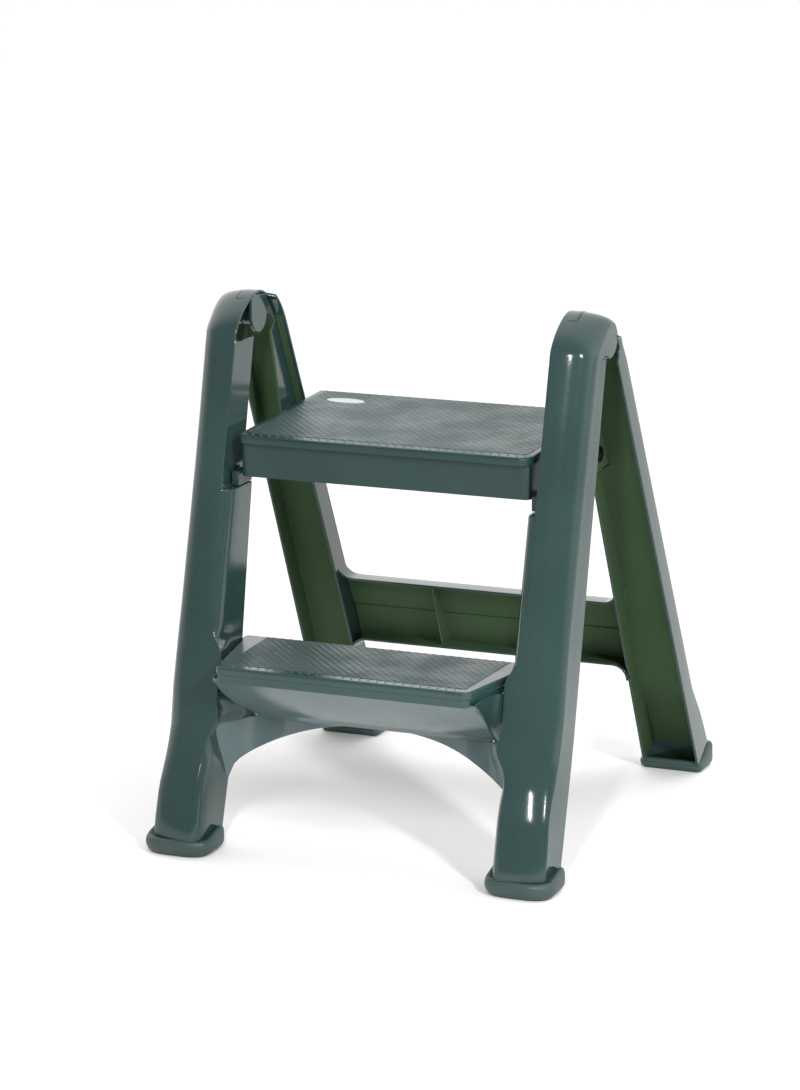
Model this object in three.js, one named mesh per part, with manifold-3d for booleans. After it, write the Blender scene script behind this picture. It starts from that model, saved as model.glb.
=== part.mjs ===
// A two-step folding stool: a moulded front frame that carries the lower step, a moulded rear frame
// hinged to it at the top of both legs, and a top step that pivots on the rear frame and rests on
// ledges of the front legs. Millimetres, +Z up, the front faces -Y, +X is the right-hand side.
// Outlines are written from the seam between the two frames (y = 0) and the floor (z = 0), and the
// whole group is moved at the end so that its origin is the centre of the footprint.
import * as THREE from 'three';
import { mergeVertices } from 'three/addons/utils/BufferGeometryUtils.js';
import Module from 'manifold-3d';

// ---- driving dimensions ----
const HEIGHT = 578;                    // floor to the top of the legs
const FOOTPRINT_FRONT = -198;          // front of the front feet
const FOOTPRINT_REAR = 350;            // back of the rear feet
const SKIN = 3.5;                      // moulded wall thickness
const GAP = 0.4;                       // clearance between pieces that rest on each other
const HINGE = { y: 5, z: 552 };        // axis that joins the two frames
const PIVOT = { y: 88, z: 410 };       // axis that joins the top step to the rear frame
const SIDES = [['left', -1], ['right', 1]];

const LEG_BOTTOM = 4 + GAP;            // the rear legs stand inside rubber feet with a 4 mm floor
const FRONT_LEG_BOTTOM = 12 + GAP;     // the front feet have a 12 mm floor with a rounded edge
const LEG_INNER = 176;                 // inner face of the front legs above the ledge
const LEG_INSET = 165;                 // inner face of the front legs below the ledge
const LEG_OUTER = 222;                 // outer face of the front legs
const LEG_WALL = 2.8;                  // outer wall of the front legs
const LEDGE = 380;                     // height of the ledge that holds the top step
const FLANGE_TOP = 530;                // the inner wall of the front legs stops here
const SEAM = -22;                      // the inner half of the front roof stops here
const KNUCKLE_SPLIT = 193;             // between the rear (inner) and front (outer) hinge knuckles
const SHOULDER = 540;                  // the straight part of the legs ends and the arch begins
const KICK = { top: 112, bottom: 80, forward: 5, outward: 4 };  // the legs step out above the feet
const ANKLE = 24;                      // below this the legs are upright, inside the feet

const REAR_INNER = 168.5;              // inner face of the rear legs
const REAR_CHEEK = 176.5;              // inner face of the cheek that holds the top step
const CHEEK = 3.5;                     // thickness of that cheek
const REAR_OUTER = 217;                // outer face of the rear legs at the top
const SPLAY = 15;                      // how much wider the rear legs are at the floor
const SHELF = 392;                     // the cheek turns into the lower inner wall here

const STEP_HALF = 166;                 // half the width of the top step
const STEP_LIP = { y: -85, z: 437 };   // front upper edge of the top step
const STEP_DEPTH = 231;                // front to back along the tread
const STEP_APRON = 46;                 // height of the front panel
const STEP_TILT = THREE.MathUtils.degToRad(2);

const LOWER_TREAD = 214;               // height of the lower tread
const LOWER_NOSE = -196;               // front edge of the lower tread
const LOWER_REAR = -65;                // back edge of the lower tread
const RIM = 197;                       // lower edge of the rim of the lower tread
const LOWER_CORNER = 141;              // half the width of the lower step at its front edge
const LOWER_SHOULDER = { x: 161, y: -84 };                      // its sides reach the legs here
const ARCH = { halfWidth: 185, rise: 120, base: 17, y: -100 };  // ellipse below the lower step
const ARCH_END = { x: 150, z: 84 };    // the ellipse stops at this x, and the edge meets the legs at z
const PANEL = -131;                    // front of the panels between the lower step and the legs

const HINGE_PIN = 6;                   // radii of the pins, and the clearance in their holes
const STEP_PIN = 4;
const RUNNING = 0.35;
const BOSS = 12;                       // radius of the knuckles around the hinge pins
const LOBE = 21.5;                     // radius of the front legs around the hinge
const OPEN_BACK = 60;                  // y behind the front legs: cuts that go out at their backs end here

// ---- materials ----
const plastic = { color: 0x2f4a49, roughness: 0.28, metalness: 0 };
const finishes = {
  frame: plastic,
  tread: { color: 0x46605f, roughness: 0.5, metalness: 0 },
  rubber: { color: 0x33504f, roughness: 0.7, metalness: 0 },
  steel: { color: 0x2c2e2e, roughness: 0.4, metalness: 1 },
  badge: { color: 0x93a0a0, roughness: 0.4, metalness: 0 },
};

// ---- joining and cutting ----
const wasm = await Module();
wasm.setup();

function toSolid(geometry) {
  const plain = geometry.clone();
  plain.deleteAttribute('normal');
  plain.deleteAttribute('uv');
  const merged = mergeVertices(plain, 1e-4);
  const vertProperties = new Float32Array(merged.attributes.position.array);
  const triVerts = new Uint32Array(merged.index.array);
  return new wasm.Manifold(new wasm.Mesh({ numProp: 3, vertProperties, triVerts }));
}

function join(...geometries) {
  return geometries.map(toSolid).reduce((whole, piece) => whole.add(piece));
}

function cut(whole, ...geometries) {
  return geometries.map(toSolid).reduce((rest, piece) => rest.subtract(piece), whole);
}

function toMesh(solid, name, finish) {
  const { vertProperties, triVerts } = solid.getMesh();
  const geometry = new THREE.BufferGeometry();
  geometry.setAttribute('position', new THREE.BufferAttribute(vertProperties, 3));
  geometry.setIndex(new THREE.BufferAttribute(triVerts, 1));
  geometry.computeVertexNormals();
  const mesh = new THREE.Mesh(geometry, new THREE.MeshStandardMaterial(finishes[finish]));
  mesh.name = name;
  return mesh;
}

// ---- prisms along the three axes ----
const X = new THREE.Vector3(1, 0, 0);
const Y = new THREE.Vector3(0, 1, 0);
const Z = new THREE.Vector3(0, 0, 1);
const BACKWARD = Y.clone().negate();

function extrude(shape, depth, segments = 8) {
  return new THREE.ExtrudeGeometry(shape, { depth, bevelEnabled: false, curveSegments: segments });
}

// A side outline (y, z) swept from one x to another, on the given side of the stool.
function sideways(shape, side, near, far) {
  const start = side > 0 ? near : -far;
  const turned = extrude(shape, far - near).applyMatrix4(new THREE.Matrix4().makeBasis(Y, Z, X));
  return turned.translate(start, 0, 0);
}

// A front outline (x, z) swept from one y to another.
function frontwards(shape, front, back) {
  const turned = extrude(shape, back - front, 16);
  return turned.applyMatrix4(new THREE.Matrix4().makeBasis(X, Z, BACKWARD)).translate(0, back, 0);
}

// A plan outline (x, y) swept upwards.
function upwards(shape, bottom, top) {
  return extrude(shape, top - bottom).translate(0, 0, bottom);
}

function polygon(points) {
  return new THREE.Shape(points.map(([a, b]) => new THREE.Vector2(a, b)));
}

function box(x0, x1, y0, y1, z0, z1) {
  const geometry = new THREE.BoxGeometry(x1 - x0, y1 - y0, z1 - z0);
  return geometry.translate((x0 + x1) / 2, (y0 + y1) / 2, (z0 + z1) / 2);
}

function sideBox(side, near, far, y0, y1, z0, z1) {
  const ends = [side * near, side * far].sort((a, b) => a - b);
  return box(ends[0], ends[1], y0, y1, z0, z1);
}

// A round bar along x, around the given axis.
function bar(axis, radius, side, near, far, segments = 24) {
  const geometry = new THREE.CylinderGeometry(radius, radius, far - near, segments);
  geometry.rotateZ(Math.PI / 2);
  return geometry.translate(side * (near + far) / 2, axis.y, axis.z);
}

// Moves every corner of a geometry to where the rule puts it.
function moved(geometry, rule) {
  const place = geometry.attributes.position;
  for (let i = 0; i < place.count; i += 1) {
    place.setXYZ(i, ...rule(place.getX(i), place.getY(i), place.getZ(i)));
  }
  return geometry;
}

// ---- lines of the legs, seen from the side ----
const FRONT_SLOPE = 0.255;
const REAR_SLOPE = 0.53;
const kicked = (z) => THREE.MathUtils.clamp((KICK.top - z) / (KICK.top - KICK.bottom), 0, 1);
const straightFront = (z) => -57 - FRONT_SLOPE * (SHOULDER - Math.max(z, ANKLE));
const frontFace = (z) => straightFront(z) - KICK.forward * kicked(z);
const CALF = 140;                      // the outer flange of the front legs narrows below this
const frontLegBack = (z) => -9 - 0.231 * (533 - z) - 0.06 * Math.max(0, CALF - z);
// The back edge of the inset wall, from the ledge down to the foot.
const INSET_BACK = [[-42.2, LEDGE], [-72, 207], [-101, 86], [-112, 74], [-116, 64], [-133, FRONT_LEG_BOTTOM]];
const rearLegFront = (z) => 56.4 + 0.524 * (479 - z);
const rearFace = (z) => 93.5 + REAR_SLOPE * (464 - z);

// ---- front frame ----
// The outline of a front leg with the arch at its top and the round lobe around the hinge. The same
// outline drawn a wall's thickness smaller is the space inside.
function frontLine(shape, top, low, inset) {
  shape.moveTo(frontFace(low) + inset, low);
  for (const z of [ANKLE, KICK.bottom, KICK.top, top]) shape.lineTo(frontFace(z) + inset, z);
}

function frontLegOutline(inset) {
  const arch = HEIGHT - inset;
  const lobe = LOBE - inset;
  const low = FRONT_LEG_BOTTOM - 4 * inset;
  const shape = new THREE.Shape();
  frontLine(shape, SHOULDER, low, inset);
  shape.bezierCurveTo(-51 + inset, 563 - inset, -26 + inset / 2, arch, 3, arch);
  shape.bezierCurveTo(17 - inset / 2, arch, HINGE.y + lobe, 566, HINGE.y + lobe, HINGE.z);
  if (inset > 0) {
    shape.lineTo(OPEN_BACK, HINGE.z);
    shape.lineTo(OPEN_BACK, low);
  } else {
    shape.absarc(HINGE.y, HINGE.z, lobe, 0, -0.75 * Math.PI, true);
    shape.lineTo(frontLegBack(CALF), CALF);
    shape.lineTo(frontLegBack(low), low);
  }
  return shape;
}

function frontLegLowerOutline(inset) {
  const low = FRONT_LEG_BOTTOM - 4 * inset;
  const high = LEDGE - inset;
  const shape = new THREE.Shape();
  frontLine(shape, high, low, inset);
  if (inset > 0) {
    shape.lineTo(OPEN_BACK, high);
    shape.lineTo(OPEN_BACK, low);
  } else {
    for (const [y, z] of INSET_BACK) shape.lineTo(y, z);
  }
  return shape;
}

// The rounded plan of a front leg: a convex front, a flat outer side and an inner edge that turns in
// to the inset wall. It follows the front line from the floor up.
function frontLegPlan(side, inset) {
  const wall = inset > 0 ? LEG_WALL : inset;
  const outer = side * (LEG_OUTER - wall);
  const inner = side * (LEG_INSET + wall);
  const edge = side * (LEG_INNER + inset / 2);
  const depth = 150;
  const shape = new THREE.Shape();
  shape.moveTo(inner, depth);
  shape.lineTo(inner, 18 + inset);
  shape.quadraticCurveTo(inner + side * 3, 5 + inset, edge, inset);
  shape.bezierCurveTo(side * 200, inset, outer - side * 3, 8 + inset, outer, 27 + inset);
  shape.lineTo(outer, 62);
  shape.lineTo(outer, depth);
  const bulges = (x, y) => (Math.abs(x) > 200 && y < 60 ? side * KICK.outward : 0);
  const levels = [-20, ANKLE, KICK.bottom, KICK.top, HEIGHT + 20];
  const pieces = levels.slice(1).map((top, i) => {
    const piece = upwards(shape, levels[i], top);
    return moved(piece, (x, y, z) => [x + bulges(x, y) * kicked(z), y + frontFace(z), z]);
  });
  return join(...pieces);
}

function frontLeg(side) {
  const outside = join(
    sideways(frontLegOutline(0), side, LEG_INNER, LEG_OUTER + 6),
    sideways(frontLegLowerOutline(0), side, LEG_INSET, LEG_INNER + 2),
  ).intersect(frontLegPlan(side, 0));
  const inside = join(
    sideways(frontLegOutline(SKIN), side, LEG_INNER + LEG_WALL, LEG_OUTER + 6),
    sideways(frontLegLowerOutline(SKIN), side, LEG_INSET, LEG_INNER + 4),
  ).intersect(frontLegPlan(side, SKIN));
  const hollow = outside.subtract(inside);
  const window = new THREE.Shape();
  window.moveTo(SEAM, 590);
  window.lineTo(SEAM, 573);
  window.bezierCurveTo(-34, 570, -47, 556, -51, FLANGE_TOP + 6);
  window.lineTo(-52, FLANGE_TOP);
  window.lineTo(OPEN_BACK, FLANGE_TOP);
  window.lineTo(OPEN_BACK, 590);
  const open = cut(hollow, sideways(window, side, LEG_INNER - 1, KNUCKLE_SPLIT + GAP));
  const boss = bar(HINGE, BOSS, side, KNUCKLE_SPLIT + GAP, LEG_OUTER - 1);
  const bore = bar(HINGE, HINGE_PIN + RUNNING, side, KNUCKLE_SPLIT - 2, LEG_OUTER - 4.5);
  return cut(open.add(toSolid(boss)), bore);
}

function lowerTreadPlan(inset) {
  const wide = LEG_INSET + 1.5;
  const half = LOWER_SHOULDER.x - inset;
  return polygon([
    [-wide, LOWER_REAR - inset],
    [-wide, LOWER_SHOULDER.y + 6 + inset],
    [-half, LOWER_SHOULDER.y + inset],
    [-LOWER_CORNER + inset, LOWER_NOSE + 3 + inset],
    [-LOWER_CORNER + 4 + inset / 2, LOWER_NOSE + inset],
    [LOWER_CORNER - 4 - inset / 2, LOWER_NOSE + inset],
    [LOWER_CORNER - inset, LOWER_NOSE + 3 + inset],
    [half, LOWER_SHOULDER.y + inset],
    [wide, LOWER_SHOULDER.y + 6 + inset],
    [wide, LOWER_REAR - inset],
  ]);
}

// The panel below the lower step slopes down and back to a web whose lower edge is an arch. Upright
// panels beside it close the space between the sides of the step and the legs.
function skirt() {
  const half = LEG_INSET + 1.5;
  const crown = ARCH.base + ARCH.rise;
  const nose = LOWER_NOSE + 3;
  const slope = polygon([
    [nose, RIM + 6], [nose, RIM], [ARCH.y - SKIN, crown], [ARCH.y, crown], [ARCH.y, crown + 4],
    [nose + 8, RIM + 6],
  ]);
  const taper = polygon([
    [-half, ARCH.y + 10], [-half, PANEL], [-153, PANEL], [-LOWER_CORNER, LOWER_NOSE],
    [LOWER_CORNER, LOWER_NOSE], [153, PANEL], [half, PANEL], [half, ARCH.y + 10],
  ]);
  const sloping = toSolid(sideways(slope, 1, -half, half)).intersect(toSolid(upwards(taper, 0, 300)));
  const ending = Math.acos(ARCH_END.x / ARCH.halfWidth);
  const web = new THREE.Shape();
  web.moveTo(-half, ARCH_END.z);
  web.lineTo(-half, crown + 2);
  web.lineTo(half, crown + 2);
  web.lineTo(half, ARCH_END.z);
  web.absellipse(0, ARCH.base, ARCH.halfWidth, ARCH.rise, ending, Math.PI - ending, false, 0);
  const panels = SIDES.map(([, side]) => sideBox(side, 150, half, PANEL, PANEL + SKIN, 157, 206));
  return sloping.add(join(frontwards(web, ARCH.y - SKIN, ARCH.y), ...panels));
}

// The sides of the lower step reach down to the sloping panel, and the rim goes all the way round.
function lowerStep() {
  const plate = upwards(lowerTreadPlan(0), LOWER_TREAD - SKIN, LOWER_TREAD);
  const ring = cut(
    toSolid(upwards(lowerTreadPlan(0), 100, LOWER_TREAD)),
    upwards(lowerTreadPlan(SKIN), 90, LOWER_TREAD + 1),
  );
  const sides = polygon([
    [LOWER_NOSE - 1, LOWER_TREAD], [LOWER_NOSE - 1, RIM], [LOWER_NOSE + 3, RIM], [PANEL, 157],
    [PANEL + SKIN, 157], [PANEL + SKIN, RIM], [0, RIM], [0, LOWER_TREAD],
  ]);
  const walls = ring.intersect(toSolid(sideways(sides, 1, -LEG_INSET - 5, LEG_INSET + 5)));
  return walls.add(toSolid(plate)).add(skirt());
}

function frontFrame() {
  const legs = SIDES.map(([, side]) => frontLeg(side));
  return legs[0].add(legs[1]).add(lowerStep());
}

// ---- rear frame ----
const HEEL = [[312, 71], [342, 20], [346, LEG_BOTTOM]];  // the back of the leg flares to the foot

// The back and roof of a rear leg; drawn smaller, it is the space in front of the web.
function rearLegOutline(inset) {
  const roof = HEIGHT - inset;
  const start = inset > 0 ? SEAM - 10 : SEAM + GAP;
  const shape = new THREE.Shape();
  shape.moveTo(start, inset > 0 ? -10 : 534);
  shape.lineTo(start, roof - 3.5);
  shape.quadraticCurveTo(-10, roof, 0, roof);
  shape.bezierCurveTo(22 - inset / 2, roof - 1, 40 - inset, 565 - inset, 49 - inset, 548 - inset / 2);
  shape.lineTo(rearFace(158) - inset, 158);
  for (const [y, z] of HEEL) shape.lineTo(y - inset, z);
  if (inset > 0) {
    shape.lineTo(HEEL[2][0] - inset, -10);
  } else {
    shape.lineTo(rearLegFront(LEG_BOTTOM), LEG_BOTTOM);
    shape.lineTo(rearLegFront(534), 534);
  }
  return shape;
}

// The rear legs widen towards the floor: the outer faces lean out, the inner ones stay upright.
function splayed(geometry) {
  const lean = (x, z) => (Math.abs(x) > 200 ? Math.sign(x) * SPLAY * (HEIGHT - z) / HEIGHT : 0);
  return moved(geometry, (x, y, z) => [x + lean(x, z), y, z]);
}

function rearLeg(side) {
  const outline = rearLegOutline(0);
  const space = rearLegOutline(SKIN);
  const shell = cut(
    toSolid(splayed(sideways(outline, side, LEG_INNER, REAR_OUTER))),
    splayed(sideways(space, side, 150, REAR_OUTER + 5)),
  );
  const overhang = cut(
    toSolid(sideways(outline, side, REAR_INNER, LEG_INNER + 1)),
    sideways(space, side, 150, LEG_INNER + 3),
    sideBox(side, 150, LEG_INNER + 3, -60, 26, 500, 600),
  );
  const outerWall = splayed(sideways(outline, side, REAR_OUTER - SKIN, REAR_OUTER));
  const lowerWall = polygon([
    [rearLegFront(LEG_BOTTOM), LEG_BOTTOM],
    [rearLegFront(SHELF), SHELF],
    [rearFace(SHELF) - 1, SHELF],
    [rearFace(158) - 1, 158],
    [HEEL[0][0] - 1, HEEL[0][1]],
    [HEEL[2][0] - 1, LEG_BOTTOM],
  ]);
  const shelf = polygon([
    [rearLegFront(SHELF - 4) + 2, SHELF - 4],
    [rearLegFront(SHELF) + 2, SHELF],
    [rearFace(SHELF) - 1, SHELF],
    [rearFace(SHELF - 4) - 1, SHELF - 4],
  ]);
  const cheek = polygon([
    [77, SHELF - 4],
    [57, 457],
    [36, 528],
    [53, 539],
    [rearFace(457) - 1, 457],
    [rearFace(SHELF - 4) - 1, SHELF - 4],
  ]);
  const tongue = new THREE.Shape();
  tongue.moveTo(HINGE.y - 20, 575);
  tongue.lineTo(HINGE.y - 20, HINGE.z);
  tongue.absarc(HINGE.y, HINGE.z, 20, Math.PI, 2 * Math.PI, false);
  tongue.lineTo(HINGE.y + 20, 570);
  const walls = shell.add(overhang).add(join(
    outerWall,
    sideways(lowerWall, side, REAR_INNER, REAR_INNER + SKIN),
    sideways(shelf, side, REAR_INNER, REAR_CHEEK + CHEEK),
    sideways(cheek, side, REAR_CHEEK, REAR_CHEEK + CHEEK),
    sideways(tongue, side, LEG_INNER, REAR_CHEEK + CHEEK),
    bar(HINGE, BOSS, side, LEG_INNER + 1, KNUCKLE_SPLIT - GAP),
    bar(PIVOT, 11, side, REAR_CHEEK, REAR_CHEEK + CHEEK + 2),
  ));
  return cut(
    walls,
    bar(HINGE, 27.5, side, KNUCKLE_SPLIT - GAP, REAR_OUTER + 9, 40),
    sideBox(side, KNUCKLE_SPLIT - GAP, REAR_OUTER + 9, -40, HINGE.y, 500, 600),
    bar(HINGE, HINGE_PIN + RUNNING, side, REAR_CHEEK + 2, KNUCKLE_SPLIT + 2),
    bar(PIVOT, STEP_PIN + RUNNING, side, REAR_CHEEK - 3, REAR_CHEEK + CHEEK + 5),
  );
}

// A channel that is open to the front, with two upright ribs and one long one.
function crossbar() {
  const half = REAR_INNER + 1;
  const top = 218;
  const bottom = 138;
  const outside = polygon([
    [200, top], [rearFace(top), top], [rearFace(bottom), bottom], [236, bottom],
  ]);
  const inside = polygon([
    [150, top - SKIN],
    [rearFace(top - SKIN) - 4, top - SKIN],
    [rearFace(bottom + SKIN) - 4, bottom + SKIN],
    [150, bottom + SKIN],
  ]);
  const channel = cut(
    toSolid(sideways(outside, 1, -half, half)),
    sideways(inside, 1, -half - 1, half + 1),
  );
  const middle = (top + bottom) / 2;
  const longRib = box(-half, half, 222, rearFace(middle) - 2, middle - 1.25, middle + 1.25);
  const ribs = [-56, 56].map((x) => sideways(outside, 1, x - 1.25, x + 1.25));
  return channel.add(join(longRib, ...ribs));
}

function rearFrame() {
  const legs = SIDES.map(([, side]) => rearLeg(side));
  return legs[0].add(legs[1]).add(crossbar());
}

// ---- top step ----
// The step is drawn with its front upper edge at the origin, then tilted and moved into place.
function placed(geometry) {
  return geometry.rotateX(STEP_TILT).translate(0, STEP_LIP.y, STEP_LIP.z);
}

function stepPlan(inset) {
  const half = STEP_HALF - inset;
  const corner = 9;
  return polygon([
    [-half, STEP_DEPTH - inset],
    [-half, corner + inset],
    [-half + corner, inset],
    [half - corner, inset],
    [half, corner + inset],
    [half, STEP_DEPTH - inset],
  ]);
}

const badgePlace = { x: -116, along: 185, width: 44, depth: 20, thickness: 1.6 };

function oval(width, depth, bottom, top) {
  const shape = new THREE.Shape();
  shape.absellipse(badgePlace.x, badgePlace.along, width / 2, depth / 2, 0, 2 * Math.PI, false, 0);
  return placed(upwards(shape, bottom, top));
}

function topStep() {
  const sideWall = polygon([
    [7.5, -STEP_APRON], [7.5, -1], [STEP_DEPTH - 2, -1], [STEP_DEPTH - 2, -22], [190, -STEP_APRON],
  ]);
  const walls = SIDES.map(([, side]) => placed(sideways(sideWall, side, STEP_HALF - SKIN, STEP_HALF)));
  const ribs = [-84, -28, 28, 84].map((x) => {
    const rib = polygon([[9, -30], [9, -2], [STEP_DEPTH - 2, -2], [STEP_DEPTH - 2, -18], [190, -30]]);
    return placed(sideways(rib, 1, x - 1.25, x + 1.25));
  });
  const half = STEP_HALF - 1;
  const body = join(
    placed(upwards(stepPlan(0), -4, 0)),
    placed(box(-half, half, 7.5, 7.5 + SKIN, -STEP_APRON, -2)),
    placed(box(-half, half, STEP_DEPTH - SKIN, STEP_DEPTH, -22, -2)),
    placed(box(-half, half, 110, 112.5, -24, -2)),
    ...walls,
    ...ribs,
    ...SIDES.map(([, side]) => bar(PIVOT, 12, side, STEP_HALF - 16, REAR_CHEEK - GAP)),
    ...SIDES.map(([, side]) => sideBox(side, STEP_HALF - 6, 173.5, -77, -43, LEDGE + GAP, 396)),
  );
  const lip = cut(toSolid(placed(upwards(stepPlan(0), -9, 0))), placed(upwards(stepPlan(2.5), -10, 1)));
  const frontLip = lip.subtract(toSolid(box(-200, 200, -60, 200, 400, 460)));
  const bores = SIDES.map(([, side]) => bar(PIVOT, STEP_PIN + RUNNING, side, 140, 180));
  const seat = oval(badgePlace.width + 0.8, badgePlace.depth + 0.8, -1.2 - GAP, 2);
  return cut(body.add(frontLip), ...bores, seat);
}

// ---- pins, clips and badge ----
function hingePin(side) {
  return toSolid(bar(HINGE, HINGE_PIN, side, REAR_CHEEK + 2.5, LEG_OUTER - 5));
}

function stepPin(side) {
  const profile = [[0, 0], [7, 0], [7, 2], [STEP_PIN, 2.6], [STEP_PIN, 36], [STEP_PIN - 1, 37], [0, 37]];
  const geometry = new THREE.LatheGeometry(profile.map(([r, l]) => new THREE.Vector2(r, l)), 24);
  geometry.rotateZ(-side * Math.PI / 2);
  return toSolid(geometry.translate(side * (STEP_HALF - 18.6 - GAP), PIVOT.y, PIVOT.z));
}

function stepPinClip(side) {
  const inside = REAR_CHEEK + CHEEK + 2 + GAP;
  const disc = toSolid(bar(PIVOT, 8.5, side, inside, inside + 1.6));
  return cut(disc, bar(PIVOT, STEP_PIN + RUNNING, side, inside - 1, inside + 3));
}

function badge() {
  return toSolid(oval(badgePlace.width, badgePlace.depth, -1.2, badgePlace.thickness - 1.2));
}

// ---- feet ----
// A front foot is a rubber cup around the front and both sides of the leg, open at the back. Its rim
// rises from the front to a tab on each side.
const FRONT_FOOT = { centre: 192, half: 38, back: -136, corner: 24, floor: 12, rim: 21, tab: 29 };
const FRONT_FOOT_ROUND = 12;           // radius of the lower edge of the front feet

function frontFoot(side) {
  const { half, back, corner, rim, tab } = FRONT_FOOT;
  const centre = side * FRONT_FOOT.centre;
  const front = FOOTPRINT_FRONT;
  const shape = new THREE.Shape();
  shape.moveTo(centre - half, back);
  shape.lineTo(centre - half, front + corner);
  shape.quadraticCurveTo(centre - half, front, centre - half + corner, front);
  shape.lineTo(centre + half - corner, front);
  shape.quadraticCurveTo(centre + half, front, centre + half, front + corner);
  shape.lineTo(centre + half, back);
  const profile = polygon([
    [front - 1, 0], [front - 1, rim], [front + 18, rim], [front + 42, tab],
    [back - 5, tab], [back, tab - 5], [back, 0],
  ]);
  const near = FRONT_FOOT.centre - half - 1;
  const far = FRONT_FOOT.centre + half + 1;
  const round = FRONT_FOOT_ROUND;
  const block = new THREE.ExtrudeGeometry(shape, {
    depth: tab,
    bevelThickness: round,
    bevelSize: round,
    bevelOffset: -round,
    bevelSegments: 4,
    curveSegments: 8,
  }).translate(0, 0, round);
  const cup = toSolid(block).intersect(toSolid(sideways(profile, side, near, far)));
  const space = sideBox(side, near, far, front, back + 10, FRONT_FOOT.floor, tab + 5);
  return cup.subtract(frontLegPlan(side, -GAP).intersect(toSolid(space)));
}

// A rear foot wraps the back and both sides of the leg and is open to the front.
function rearFoot(side) {
  const inner = side * 163.5;
  const outer = side * 235.5;
  const corner = side * 12;
  const shape = new THREE.Shape();
  shape.moveTo(inner, 303);
  shape.lineTo(inner, FOOTPRINT_REAR - 12);
  shape.quadraticCurveTo(inner, FOOTPRINT_REAR, inner + corner, FOOTPRINT_REAR);
  shape.lineTo(outer - corner, FOOTPRINT_REAR);
  shape.quadraticCurveTo(outer, FOOTPRINT_REAR, outer, FOOTPRINT_REAR - 12);
  shape.lineTo(outer, 303);
  const cup = toSolid(upwards(shape, 0, 22));
  return cut(cup, sideBox(side, REAR_INNER - GAP, REAR_OUTER + SPLAY + GAP, 290, 346.6, 4, 40));
}

// ---- the stool ----
const stool = new THREE.Group();
stool.name = 'step_stool';
stool.add(toMesh(frontFrame(), 'front_frame', 'frame'));
stool.add(toMesh(rearFrame(), 'rear_frame', 'frame'));
stool.add(toMesh(topStep(), 'top_step', 'tread'));
stool.add(toMesh(badge(), 'badge', 'badge'));
for (const [name, side] of SIDES) {
  stool.add(toMesh(frontFoot(side), `front_foot_${name}`, 'rubber'));
  stool.add(toMesh(rearFoot(side), `rear_foot_${name}`, 'rubber'));
  stool.add(toMesh(hingePin(side), `hinge_pin_${name}`, 'steel'));
  stool.add(toMesh(stepPin(side), `step_pin_${name}`, 'steel'));
  stool.add(toMesh(stepPinClip(side), `step_pin_clip_${name}`, 'steel'));
}
stool.position.y = -(FOOTPRINT_FRONT + FOOTPRINT_REAR) / 2;

export default stool;
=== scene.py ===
"""A folding two-step stool of moulded plastic, standing open on a pale studio floor.

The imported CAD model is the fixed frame. Every visible moulding is built here as closed shells and
plates with rounded edges, and rides on its CAD body. Outlines are in millimetres in the seam frame:
y = 0 where the two frames meet at the top, z = 0 on the floor, +X to the right. A side is 1 for the
right and -1 for the left, which is mirrored.
"""

import math

import bmesh
import bpy
from mathutils import Matrix, Vector


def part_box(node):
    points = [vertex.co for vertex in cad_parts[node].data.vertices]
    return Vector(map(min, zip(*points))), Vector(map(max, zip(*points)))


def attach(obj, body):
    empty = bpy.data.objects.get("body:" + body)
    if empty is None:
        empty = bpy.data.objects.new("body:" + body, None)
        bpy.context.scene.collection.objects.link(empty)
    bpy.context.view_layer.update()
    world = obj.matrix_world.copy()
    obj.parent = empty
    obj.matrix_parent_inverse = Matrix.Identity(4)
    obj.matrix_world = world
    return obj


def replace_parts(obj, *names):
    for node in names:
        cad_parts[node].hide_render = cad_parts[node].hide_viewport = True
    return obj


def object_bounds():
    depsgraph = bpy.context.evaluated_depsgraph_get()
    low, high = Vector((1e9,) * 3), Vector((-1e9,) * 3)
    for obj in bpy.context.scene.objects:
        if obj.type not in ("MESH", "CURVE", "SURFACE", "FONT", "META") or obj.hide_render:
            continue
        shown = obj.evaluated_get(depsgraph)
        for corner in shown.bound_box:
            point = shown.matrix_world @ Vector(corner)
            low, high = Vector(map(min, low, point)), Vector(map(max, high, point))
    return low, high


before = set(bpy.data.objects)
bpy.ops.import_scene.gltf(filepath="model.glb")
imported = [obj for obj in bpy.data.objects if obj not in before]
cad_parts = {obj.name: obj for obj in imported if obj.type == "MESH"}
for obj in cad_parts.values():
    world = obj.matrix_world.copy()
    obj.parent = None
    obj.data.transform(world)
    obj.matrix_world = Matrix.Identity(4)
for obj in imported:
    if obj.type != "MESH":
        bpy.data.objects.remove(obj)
cad_low, cad_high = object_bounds()

# ---- driving dimensions, in millimetres ----
MM = 0.001
WALL = 3.0  # thickness of the mouldings
FOOTPRINT_FRONT = -198  # y of the front edge of the front feet
SEAM_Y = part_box("front_foot_left")[0].y / MM - FOOTPRINT_FRONT
HEIGHT = cad_high.z / MM

# the joints, as (y, z): pins between the frames, and pins of the top step in the rear frame
HINGE, HINGE_BORE, HINGE_BOSS = (5, 552), 6.4, 12
PIVOT, PIVOT_BORE = (88, 410), 4.4

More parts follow.
